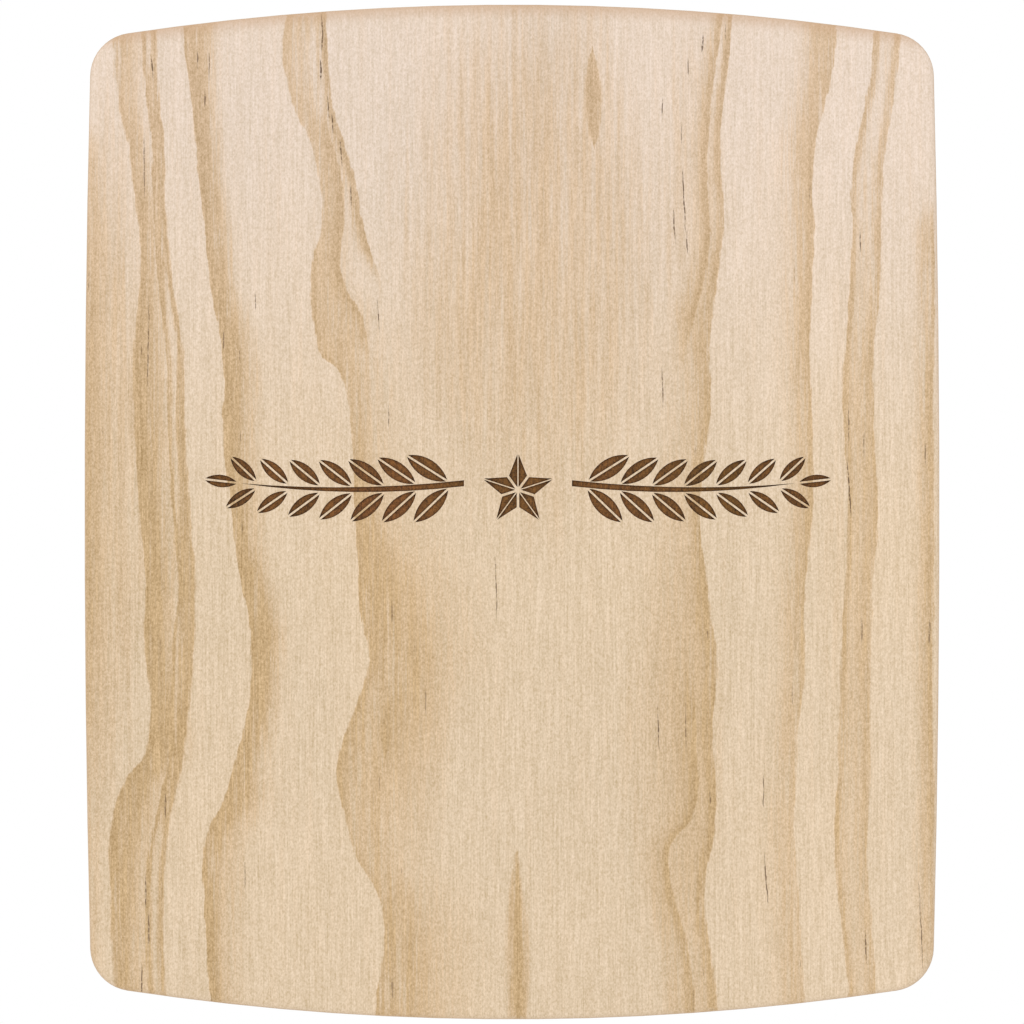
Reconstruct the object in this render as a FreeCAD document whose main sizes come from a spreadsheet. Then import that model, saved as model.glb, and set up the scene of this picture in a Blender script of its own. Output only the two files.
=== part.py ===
"""A wooden wall plaque, in millimetres.

The plaque is a barrel-shaped panel of seven-ply pine-faced plywood, stood upright: +Z is up, the engraved
face looks along -Y, and the origin is the centre of the back, where the plaque meets the wall. The panel is
glued up first, and its outline, its eased edges, the engraving and the hanger's recess are cut in the
finished stack, so every ply is one slice of the same blank, less the same cutters. A keyhole hanger plate is
let into the back.
"""

import FreeCAD
import Part
import Sketcher

import math
import os

PARTS_FOLDER = "parts"
SHEET = "Sizes"

# The driving dimensions: alias, value, what it is. All are lengths in millimetres, but for the last few.
SIZES = [
    ("board_width", 214.0, "across the middle, where the sides bow out most"),
    ("board_height", 254.0, "up the middle, where the ends bow out most"),
    ("board_thickness", 15.0, "the whole stack of plies"),
    ("end_bow_radius", 650.0, "the top and bottom edges"),
    ("side_bow_radius", 4300.0, "the left and right edges"),
    ("corner_radius", 11.0, "the four corners of the outline"),
    ("front_roundover", 1.5, "all round the engraved face"),
    ("back_arris", 0.6, "taken off the edge of the back"),
    ("veneer_thickness", 0.8, "the face and back veneers"),
    ("engraving_depth", 0.4, "below the face"),
    ("engraving_across", 1.5, "the engraving's centre, right of the panel's"),
    ("engraving_up", 6.4, "the engraving's centre, above the panel's"),
    ("star_radius", 9.9, "centre to point"),
    ("star_waist_radius", 4.3, "centre to notch"),
    ("branch_start", 13.5, "the laurel branch's cut end, from the star's centre"),
    ("branch_length", 56.0, "its stem, end to end"),
    ("branch_rise", 1.6, "the stem's ends, above its middle"),
    ("branch_width", 1.5, "the stem, at its cut end"),
    ("leaf_length", 11.6, "the leaves nearest the star"),
    ("leaf_width", 4.6, "at the middle of the same leaves"),
    ("leaf_vein_width", 0.5, "the ridge left standing along each leaf"),
    ("leaf_stalk", 0.9, "the gap between the stem and a leaf"),
    ("hanger_up", 84.0, "the hanger plate's centre, above the panel's"),
    ("plate_length", 46.0, "end to end"),
    ("plate_width", 16.0, "twice the radius of its round ends"),
    ("plate_thickness", 1.2, "pressed steel"),
    ("plate_set_in", 0.2, "the plate's outer face, below the back of the panel"),
    ("plate_clearance", 0.2, "between the plate's edge and the wood"),
    ("plate_edge_break", 0.3, "rounded off the plate's outer edge"),
    ("keyhole_radius", 4.75, "the hole that the wall screw's head goes through"),
    ("slot_radius", 2.4, "half the width of the slot above it"),
    ("keyhole_down", 6.0, "the head hole's centre, below the plate's"),
    ("seat_up", 5.0, "the centre of the slot's round end, above the plate's"),
    ("pocket_radius", 5.6, "the pocket behind the plate"),
    ("pocket_depth", 5.7, "below the back of the panel"),
    ("screw_spacing", 36.0, "between the two plate screws"),
    ("screw_length", 10.4, "head to point"),
    ("screw_drop", 0.1, "the screw's head, below the plate's outer face"),
    ("screw_head_radius", 2.9, "countersunk at 90 degrees"),
    ("screw_head_rim", 0.2, "the straight edge of the head"),
    ("screw_core_radius", 1.0, "the shank between the threads"),
    ("screw_thread_radius", 1.5, "the crest of the thread"),
    ("screw_thread_pitch", 1.15, "crest to crest"),
    ("screw_point", 2.4, "the tapered end"),
    ("drive_width", 0.8, "across one arm of the cross recess"),
    ("drive_length", 3.6, "tip to tip of the cross recess"),
    ("drive_depth", 1.3, "the cross recess"),
    ("countersink_radius", 3.1, "at the plate's outer face"),
    ("screw_hole_radius", 1.7, "through the plate"),
    ("leaf_pairs", 7, "on each branch"),
    ("leaf_angle", 38.0, "degrees from the stem"),
    ("leaf_taper", 0.68, "the last leaf's size, over the first's"),
    ("leaf_lead", 0.35, "from the stem's cut end to the first pair, over the distance between pairs"),
    ("stem_waist", 0.8, "the stem's width at its middle, over its width at the cut end"),
    ("star_facet_share", 0.84, "a facet's size, over its share of the star"),
]

PLIES = ["back_veneer", "crossband_back", "core_ply_back", "centre_ply", "core_ply_front",
         "crossband_front", "face_veneer"]  # from the wall to the engraved face
INNER_PLIES = len(PLIES) - 2
SCREWS = {"hanger_screw_upper": 1, "hanger_screw_lower": -1}  # above or below the plate's centre
THREAD_TURNS = 5
STAR_POINTS = 5
SPARE = 2.0  # how far a cutter stands out of the wood
PLATE_END = "(@plate_length - @plate_width) / 2"  # from the plate's centre to that of each round end

ORIGIN_POINT = (-1, 1)
VERTICAL_AXIS = -2
HORIZONTAL_AXIS = -1
START, END, CENTRE = 1, 2, 3

doc = FreeCAD.newDocument("wooden_plaque")


# ---- the sheet, and binding to it ----

def make_sheet():
    sheet = doc.addObject("Spreadsheet::Sheet", SHEET)
    for row, (alias, size, note) in enumerate(SIZES, start=1):
        sheet.set(f"A{row}", alias)
        sheet.set(f"B{row}", str(size))
        sheet.set(f"C{row}", note)
        sheet.setAlias(f"B{row}", alias)
    doc.recompute()
    return sheet


sheet = make_sheet()


def full(expression):
    """In an expression here, @ stands for the sheet."""
    return expression.replace("@", SHEET + ".")


def value(expression):
    """What an expression comes to, as a plain number."""
    return float(sheet.evalExpression(full(expression)))


def bind(thing, **expressions):
    """Binds properties to the sheet. A double underscore in a name stands for a dot."""
    for name, expression in expressions.items():
        thing.setExpression(name.replace("__", "."), full(expression))


# ---- sketches ----

def sketch_in(body, name, role, **offset):
    """A sketch on one of the body's own origin planes, with its attachment offset bound to the sheet."""
    plane = next(feature for feature in body.Origin.OriginFeatures if feature.Role == role)
    sketch = body.newObject("Sketcher::SketchObject", name)
    sketch.AttachmentSupport = [(plane, "")]
    sketch.MapMode = "FlatFace"
    for axis, expression in offset.items():
        sketch.setExpression(f"AttachmentOffset.Base.{axis}", full(expression))
    return sketch


def point(across, up):
    return FreeCAD.Vector(across, up, 0)


def arc(centre, radius, start, end):
    """An anticlockwise arc of a circle, from one angle to the other."""
    return Part.ArcOfCircle(Part.Circle(centre, FreeCAD.Vector(0, 0, 1), radius), start, end)


def drive(sketch, kind, where, expression):
    """Adds a dimension to a sketch and binds it to the sheet."""
    index = sketch.addConstraint(Sketcher.Constraint(kind, *where, value(expression)))
    sketch.setExpression(f"Constraints[{index}]", full(expression))


def join(sketch, kind, first, second):
    sketch.addConstraint(Sketcher.Constraint(kind, first, END, second, START))


def centre_on_axis(sketch, curve, axis):
    sketch.addConstraint(Sketcher.Constraint("PointOnObject", curve, CENTRE, axis))


def draw_polygon(sketch, corners):
    """A closed polygon: each corner is a pair of expressions, across and up."""
    places = [point(value(across), value(up)) for across, up in corners]
    count = len(corners)
    sides = [Part.LineSegment(places[i], places[(i + 1) % count]) for i in range(count)]
    sketch.addGeometry(sides, False)
    for i, (across, up) in enumerate(corners):
        join(sketch, "Coincident", i, (i + 1) % count)
        drive(sketch, "DistanceX", (*ORIGIN_POINT, i, START), across)
        drive(sketch, "DistanceY", (*ORIGIN_POINT, i, START), up)


def draw_slot(sketch, top, bottom, radius):
    """An upright slot with round ends: the heights of its two centres, and its radius."""
    high, low, r = value(top), value(bottom), value(radius)
    upper, left, lower, right = range(4)
    sketch.addGeometry([
        arc(point(0, high), r, 0, math.pi),
        Part.LineSegment(point(-r, high), point(-r, low)),
        arc(point(0, low), r, math.pi, 2 * math.pi),
        Part.LineSegment(point(r, low), point(r, high)),
    ], False)
    for side in range(4):
        join(sketch, "Tangent", side, (side + 1) % 4)
    for end, height in ((upper, top), (lower, bottom)):
        centre_on_axis(sketch, end, VERTICAL_AXIS)
        drive(sketch, "DistanceY", (*ORIGIN_POINT, end, CENTRE), height)
    drive(sketch, "Radius", (upper,), radius)


def draw_keyhole(sketch):
    """The head hole's arc, and the slot that rises from it to the seat."""
    hole, slot = value("@keyhole_radius"), value("@slot_radius")
    hole_up, seat_up = "@hanger_up - @keyhole_down", "@hanger_up + @seat_up"
    low, high = value(hole_up), value(seat_up)
    mouth = math.asin(slot / hole)
    neck = low + hole * math.cos(mouth)
    head, right, seat, left = range(4)
    sketch.addGeometry([
        arc(point(0, low), hole, math.pi / 2 + mouth, 5 * math.pi / 2 - mouth),
        Part.LineSegment(point(slot, neck), point(slot, high)),
        arc(point(0, high), slot, 0, math.pi),
        Part.LineSegment(point(-slot, high), point(-slot, neck)),
    ], False)
    for first, second, kind in ((head, right, "Coincident"), (right, seat, "Tangent"),
                                (seat, left, "Tangent"), (left, head, "Coincident")):
        join(sketch, kind, first, second)
    for line in (right, left):
        sketch.addConstraint(Sketcher.Constraint("Vertical", line))
    for curve, height, radius in ((head, hole_up, "@keyhole_radius"), (seat, seat_up, "@slot_radius")):
        centre_on_axis(sketch, curve, VERTICAL_AXIS)
        drive(sketch, "DistanceY", (*ORIGIN_POINT, curve, CENTRE), height)
        drive(sketch, "Radius", (curve,), radius)


def draw_barrel(sketch):
    """The panel's outline: four bowed edges, and between them four round corners that meet them smoothly."""
    side_r, end_r, corner_r = value("@side_bow_radius"), value("@end_bow_radius"), value("@corner_radius")
    side_back = value("@side_bow_radius - @board_width / 2")  # each bow's centre, beyond the panel's
    end_back = value("@end_bow_radius - @board_height / 2")
    # A corner's centre is where the two bows beside it, each moved in by the corner's radius, cross.
    apart = math.hypot(side_back, end_back)
    side_in, end_in = side_r - corner_r, end_r - corner_r
    along = (side_in**2 - end_in**2 + apart**2) / (2 * apart)
    aside = math.sqrt(side_in**2 - along**2)
    corner_x = (along * side_back + aside * end_back) / apart - side_back
    corner_z = (aside * side_back - along * end_back) / apart
    side_lean = math.atan2(corner_z, corner_x + side_back)
    end_lean = math.atan2(corner_x, corner_z + end_back)

    curves = []
    for quarter, (sign_x, sign_z) in enumerate(((1, 1), (-1, 1), (-1, -1), (1, -1))):
        turn = quarter * math.pi / 2
        if quarter % 2 == 0:
            back, radius, lean, next_lean = side_back, side_r, side_lean, end_lean
        else:
            back, radius, lean, next_lean = end_back, end_r, end_lean, side_lean
        bow_centre = point(-back * math.cos(turn), -back * math.sin(turn))
        curves.append(arc(bow_centre, radius, turn - lean, turn + lean))
        curves.append(arc(point(sign_x * corner_x, sign_z * corner_z), corner_r,
                          turn + lean, turn + math.pi / 2 - next_lean))
    sketch.addGeometry(curves, False)
    for i in range(len(curves)):
        join(sketch, "Tangent", i, (i + 1) % len(curves))
    right, top, left, bottom = 0, 2, 4, 6
    side_place, end_place = "@side_bow_radius - @board_width / 2", "@end_bow_radius - @board_height / 2"
    for curve, kind, axis, place in ((right, "DistanceX", HORIZONTAL_AXIS, f"-({side_place})"),
                                     (left, "DistanceX", HORIZONTAL_AXIS, side_place),
                                     (top, "DistanceY", VERTICAL_AXIS, f"-({end_place})"),
                                     (bottom, "DistanceY", VERTICAL_AXIS, end_place)):
        centre_on_axis(sketch, curve, axis)
        drive(sketch, kind, (*ORIGIN_POINT, curve, CENTRE), place)
        drive(sketch, "Radius", (curve,), "@side_bow_radius" if curve in (right, left) else "@end_bow_radius")
        drive(sketch, "Radius", (curve + 1,), "@corner_radius")


# ---- the panel's blank ----

def rim_edges(shape, depth):
    """The names of the edges that lie wholly at one depth behind the engraved side's outline."""
    return [f"Edge{i}" for i, edge in enumerate(shape.Edges, start=1)
            if all(abs(vertex.Y - depth) < 1e-6 for vertex in edge.Vertexes)]


def make_blank():
    body = doc.addObject("PartDesign::Body", "panel_blank")
    outline = sketch_in(body, "BarrelOutline", "XZ_Plane")
    draw_barrel(outline)
    pad = body.newObject("PartDesign::Pad", "GluedStack")
    pad.Profile = outline
    bind(pad, Length="@board_thickness")
    doc.recompute()

    front = body.newObject("PartDesign::Fillet", "FrontRoundover")
    front.Base = (pad, rim_edges(pad.Shape, -value("@board_thickness")))
    bind(front, Radius="@front_roundover")
    doc.recompute()

    back = body.newObject("PartDesign::Chamfer", "BackArris")
    back.Base = (front, rim_edges(front.Shape, 0.0))
    bind(back, Size="@back_arris")
    doc.recompute()
    return body


# ---- what is cut out of the stack ----

def make_slot_cutter(name, top, bottom, radius, depth):
    """A slot-shaped cutter that enters the back of the panel."""
    body = doc.addObject("PartDesign::Body", name)
    outline = sketch_in(body, name + "_outline", "XZ_Plane", z=str(-SPARE))
    draw_slot(outline, top, bottom, radius)
    pad = body.newObject("PartDesign::Pad", name + "_depth")
    pad.Profile = outline
    bind(pad, Length=f"{depth} + {SPARE}")
    return body


def make_screw_hole(name, side):
    """The hole that a plate screw cuts: a cylinder as wide as the thread, with a cone for its point."""
    body = doc.addObject("PartDesign::Body", name + "_hole")
    profile = sketch_in(body, name + "_hole_profile", "YZ_Plane",
                        y=f"@hanger_up + {side} * @screw_spacing / 2")
    tip = "-@plate_set_in - @screw_drop - @screw_length"
    draw_polygon(profile, [
        (str(SPARE), "0"),
        (tip, "0"),
        (f"{tip} + @screw_point", "@screw_thread_radius"),
        (str(SPARE), "@screw_thread_radius"),
    ])
    turned = body.newObject("PartDesign::Revolution", name + "_hole_turned")
    turned.Profile = profile
    turned.ReferenceAxis = (profile, ["H_Axis"])
    return body


def star_facets(centre):
    """The facets of a star, two to each point, drawn in a little so that ridges are left between them."""
    radii = value("@star_radius"), value("@star_waist_radius")
    share = value("@star_facet_share")
    facet_count = 2 * STAR_POINTS
    rim = []
    for i in range(facet_count):
        angle = math.pi / 2 + i * math.pi / STAR_POINTS
        rim.append(centre + point(math.cos(angle), math.sin(angle)) * radii[i % 2])
    facets = []
    for i in range(facet_count):
        corners = [centre, rim[i], rim[(i + 1) % facet_count]]
        middle = (corners[0] + corners[1] + corners[2]) * (1 / 3)
        corners = [middle + (corner - middle) * share for corner in corners]
        facets.extend(Part.LineSegment(corners[k], corners[(k + 1) % 3]) for k in range(3))
    return facets


def half_leaf(base, angle, length, width, side):
    """One side of a leaf: the straight edge along the vein, and the arc of its outer edge."""
    along = point(math.cos(angle), math.sin(angle))
    out = point(-along.y, along.x) * side
    vein = value("@leaf_vein_width") / 2
    near = base + out * vein
    far = near + along * length
    belly = near + along * (length / 2) + out * (width / 2 - vein)
    return [Part.LineSegment(near, far), Part.Arc(far, belly, near)]


def laurel_branch(centre, hand):
    """A stem that sags a little, with pairs of leaves that shrink towards its tip and one leaf at the end."""
    start, length = value("@branch_start"), value("@branch_length")
    rise, width = value("@branch_rise"), value("@branch_width")
    pairs, taper = int(value("@leaf_pairs")), value("@leaf_taper")
    lead, waist = value("@leaf_lead"), value("@stem_waist")
    leaf_length, leaf_width = value("@leaf_length"), value("@leaf_width")
    stalk = value("@leaf_stalk")
    spread = math.radians(value("@leaf_angle"))

    def stem(share):
        """The stem's centre line, from its cut end to its tip, and its direction there."""
        sag = rise * (2 * share - 1)**2 - rise / 2
        slope = 4 * rise * (2 * share - 1) / length
        heading = math.atan(slope)
        if hand < 0:
            heading = math.pi - heading
        return centre + point(hand * (start + share * length), sag), heading

    cut, tip = stem(0)[0], stem(1)[0]
    middle = stem(0.5)[0]
    half = point(0, width / 2)
    curves = [
        Part.Arc(cut - half, middle - half * waist, tip),
        Part.Arc(tip, middle + half * waist, cut + half),
        Part.LineSegment(cut + half, cut - half),
    ]
    for pair in range(pairs):
        size = 1 - (1 - taper) * pair / pairs
        base, heading = stem((pair + lead) / pairs)
        for side in (1, -1):
            angle = heading + side * spread
            away = point(math.cos(angle), math.sin(angle)) * stalk * 2
            for half_side in (1, -1):
                curves += half_leaf(base + away, angle, leaf_length * size, leaf_width * size, half_side)
    end, heading = stem(1)
    end += point(math.cos(heading), math.sin(heading)) * stalk
    for half_side in (1, -1):
        curves += half_leaf(end, heading, leaf_length * taper, leaf_width * taper, half_side)
    return curves


def make_engraving():
    """A star between two laurel branches, drawn at the engraving's floor and run out past the face."""
    pattern = doc.addObject("Sketcher::SketchObject", "LaurelAndStar")
    pattern.Placement = FreeCAD.Placement(FreeCAD.Vector(), FreeCAD.Rotation(FreeCAD.Vector(1, 0, 0), 90))
    bind(pattern, Placement__Base__y="@engraving_depth - @board_thickness")
    centre = point(value("@engraving_across"), value("@engraving_up"))
    # A star with one point up reaches further up than down, so its centre drops to level it.
    waist_drop = point(0, value("@star_radius") * (1 - math.cos(math.pi / STAR_POINTS)) / 2)
    curves = star_facets(centre - waist_drop)
    for hand in (1, -1):
        curves += laurel_branch(centre, hand)
    pattern.addGeometry(curves, False)

    cutter = doc.addObject("Part::Extrusion", "engraving_cutter")
    cutter.Base = pattern
    cutter.DirMode = "Normal"
    cutter.Solid = True
    cutter.FaceMakerClass = "Part::FaceMakerBullseye"
    bind(cutter, LengthFwd=f"@engraving_depth + {SPARE}")
    return cutter


# ---- the sub-parts ----

def make_ply(name, index, blank, cutters):
    """One ply: the slab of the blank between two glue lines, less the cutters that reach it."""
    inner = f"(@board_thickness - 2 * @veneer_thickness) / {INNER_PLIES}"
    if index == 0:
        thickness, behind = "@veneer_thickness", "0"
    elif index == len(PLIES) - 1:
        thickness, behind = "@veneer_thickness", "@board_thickness - @veneer_thickness"
    else:
        thickness, behind = inner, f"@veneer_thickness + {index - 1} * {inner}"
    slab = doc.addObject("Part::Box", name + "_slab")
    bind(slab, Length=f"@board_width + 2 * {SPARE}", Width=thickness, Height=f"@board_height + 2 * {SPARE}",
         Placement__Base__x=f"-@board_width / 2 - {SPARE}", Placement__Base__y=f"-({behind}) - {thickness}",
         Placement__Base__z=f"-@board_height / 2 - {SPARE}")
    ply = doc.addObject("Part::Common", name + "_slice")
    ply.Base = blank
    ply.Tool = slab
    for cutter in cutters:
        cut = doc.addObject("Part::Cut", f"{name}_less_{cutter.Name}")
        cut.Base = ply
        cut.Tool = cutter
        ply = cut
    ply.Label = name
    return ply


def make_plate():
    """The keyhole hanger: a round-ended steel plate with a keyhole and two countersunk screw holes."""
    body = doc.addObject("PartDesign::Body", "hanger_plate")
    outline = sketch_in(body, "PlateOutline", "XZ_Plane", z="@plate_set_in")
    draw_slot(outline, f"@hanger_up + {PLATE_END}", f"@hanger_up - {PLATE_END}", "@plate_width / 2")
    plate = body.newObject("PartDesign::Pad", "PlateBlank")
    plate.Profile = outline
    bind(plate, Length="@plate_thickness")
    doc.recompute()

    edge = body.newObject("PartDesign::Fillet", "PlateEdge")
    edge.Base = (plate, rim_edges(plate.Shape, -value("@plate_set_in")))
    bind(edge, Radius="@plate_edge_break")
    doc.recompute()

    keyhole = sketch_in(body, "Keyhole", "XZ_Plane")
    draw_keyhole(keyhole)
    pocket = body.newObject("PartDesign::Pocket", "KeyholeCut")
    pocket.Profile = keyhole
    pocket.Type = "ThroughAll"
    pocket.Reversed = True
    doc.recompute()

    for name, side in SCREWS.items():
        profile = sketch_in(body, name + "_countersink", "YZ_Plane",
                            y=f"@hanger_up + {side} * @screw_spacing / 2")
        slope = "@countersink_radius - @screw_hole_radius"
        draw_polygon(profile, [
            ("0", "0"),
            (f"-@plate_set_in - @plate_thickness - {SPARE}", "0"),
            (f"-@plate_set_in - @plate_thickness - {SPARE}", "@screw_hole_radius"),
            (f"-@plate_set_in - ({slope})", "@screw_hole_radius"),
            ("-@plate_set_in", "@countersink_radius"),
            ("0", "@countersink_radius"),
        ])
        groove = body.newObject("PartDesign::Groove", name + "_seat")
        groove.Profile = profile
        groove.ReferenceAxis = (profile, ["H_Axis"])
        doc.recompute()
    body.Label = "hanger_plate"
    return body


def make_screw(name, side):
    """A countersunk wood screw that points into the panel, with a cross recess."""
    body = doc.addObject("PartDesign::Body", name)
    up = f"@hanger_up + {side} * @screw_spacing / 2"
    head = "-@plate_set_in - @screw_drop"
    tip = f"{head} - @screw_length"
    neck = f"{head} - @screw_head_rim - (@screw_head_radius - @screw_core_radius)"
    corners = [
        (tip, "0"),
        (f"{tip} + @screw_point", "@screw_core_radius"),
    ]
    for turn in range(THREAD_TURNS):
        crest = f"{tip} + @screw_point + ({turn} + 0.5) * @screw_thread_pitch"
        corners.append((crest, "@screw_thread_radius"))
        corners.append((f"{crest} + 0.5 * @screw_thread_pitch", "@screw_core_radius"))
    corners += [
        (neck, "@screw_core_radius"),
        (f"{head} - @screw_head_rim", "@screw_head_radius"),
        (head, "@screw_head_radius"),
        (head, "0"),
    ]
    profile = sketch_in(body, name + "_profile", "YZ_Plane", y=up)
    draw_polygon(profile, corners)
    turned = body.newObject("PartDesign::Revolution", name + "_turned")
    turned.Profile = profile
    turned.ReferenceAxis = (profile, ["H_Axis"])
    doc.recompute()

    cross = sketch_in(body, name + "_cross", "XZ_Plane", y=up, z=f"-({head})")
    half, reach = "@drive_width / 2", "@drive_length / 2"
    arm = [(reach, f"-{half}"), (reach, half), (half, half)]
    corners = []
    for quarter in range(4):
        corners += arm
        arm = [(f"-({rise})", across) for across, rise in arm]
    draw_polygon(cross, corners)
    recess = body.newObject("PartDesign::Pocket", name + "_recess")
    recess.Profile = cross
    recess.Reversed = True
    bind(recess, Length="@drive_depth")
    doc.recompute()
    body.Label = name
    return body


def check(parts):
    """Every object must have worked out, and every sub-part must be one sound solid."""
    for thing in doc.Objects:
        if "Invalid" in thing.State or "Error" in thing.State:
            raise RuntimeError(f"{thing.Name} did not work out: {thing.State}")
    for part in parts:
        shape = part.Shape
        if shape.isNull() or not shape.isValid() or len(shape.Solids) != 1:
            raise RuntimeError(f"{part.Label} is not one sound solid")


blank = make_blank()
recess = make_slot_cutter("plate_recess", f"@hanger_up + {PLATE_END}", f"@hanger_up - {PLATE_END}",
                          "@plate_width / 2 + @plate_clearance", "@plate_set_in + @plate_thickness")
pocket = make_slot_cutter("head_pocket", "@hanger_up + @seat_up", "@hanger_up - @keyhole_down",
                          "@pocket_radius", "@pocket_depth")
holes = [make_screw_hole(name, side) for name, side in SCREWS.items()]
engraving = make_engraving()
doc.recompute()

CUTS = {
    "back_veneer": [recess],
    "crossband_back": [recess, pocket] + holes,
    "core_ply_back": [pocket] + holes,
    "centre_ply": holes,
    "core_ply_front": holes,
    "face_veneer": [engraving],
}
parts = [make_ply(name, index, blank, CUTS.get(name, [])) for index, name in enumerate(PLIES)]
parts.append(make_plate())
parts += [make_screw(name, side) for name, side in SCREWS.items()]
doc.recompute()
check(parts)

os.makedirs(PARTS_FOLDER, exist_ok=True)
for part in parts:
    part.Shape.exportStep(os.path.join(PARTS_FOLDER, part.Label + ".step"))
    print(f"{part.Label}: {part.Shape.Volume / 1000:.3f} cm3")
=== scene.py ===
"""The looks of the wooden plaque: pine veneer with its growth rings, the plies at its edges, the scorched
engraving and the plated hanger at the back. All shapes are the frame's own; this script gives them their
surfaces. Places on the plaque are in mm from its centre, +x to the right and +z up as it hangs."""

import math

import bpy
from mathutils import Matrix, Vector


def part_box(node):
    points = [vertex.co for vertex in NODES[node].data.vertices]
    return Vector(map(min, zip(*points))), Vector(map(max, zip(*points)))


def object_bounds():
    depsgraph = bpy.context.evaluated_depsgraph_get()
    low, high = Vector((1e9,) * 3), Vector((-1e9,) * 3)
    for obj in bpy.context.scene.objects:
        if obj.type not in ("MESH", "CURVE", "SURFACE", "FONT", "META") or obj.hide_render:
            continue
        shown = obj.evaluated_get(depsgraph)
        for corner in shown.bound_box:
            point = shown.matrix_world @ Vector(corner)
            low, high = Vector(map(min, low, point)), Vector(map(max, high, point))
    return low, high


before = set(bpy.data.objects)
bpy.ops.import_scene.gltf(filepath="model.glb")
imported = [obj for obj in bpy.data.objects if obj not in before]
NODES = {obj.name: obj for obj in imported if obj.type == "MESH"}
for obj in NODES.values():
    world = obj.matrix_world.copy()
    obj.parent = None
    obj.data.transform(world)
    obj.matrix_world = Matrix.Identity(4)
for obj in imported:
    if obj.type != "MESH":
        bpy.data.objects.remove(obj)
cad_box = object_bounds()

MM = 0.001

UPRIGHT, ACROSS = "upright", "across"  # the way a ply's fibres run
SHEET_HIGH, SHEET_LOW = 130.0, -130.0  # the heights that the ring curves span
SHEET_HALF_WIDTH = 110.0
END_BOW_RADIUS = 650.0  # the top and bottom edges of the panel
ENGRAVED_HALF_WIDTH, ENGRAVED_HALF_HEIGHT = 91.0, 31.0  # a field that holds the engraving and no edge
LIGHT_ON_FACE = 1.155  # how much the studio's light lifts the face above its own colour


def seen(red, green, blue):
    """The linear surface colour that looks like this screen colour, 0 to 255, in the studio's light."""
    def surface(value):
        value /= 255
        linear = value / 12.92 if value <= 0.04045 else ((value + 0.055) / 1.055) ** 2.4
        return linear / LIGHT_ON_FACE
    return surface(red), surface(green), surface(blue), 1.0


# ---- material graphs, written as formulas ----

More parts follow.
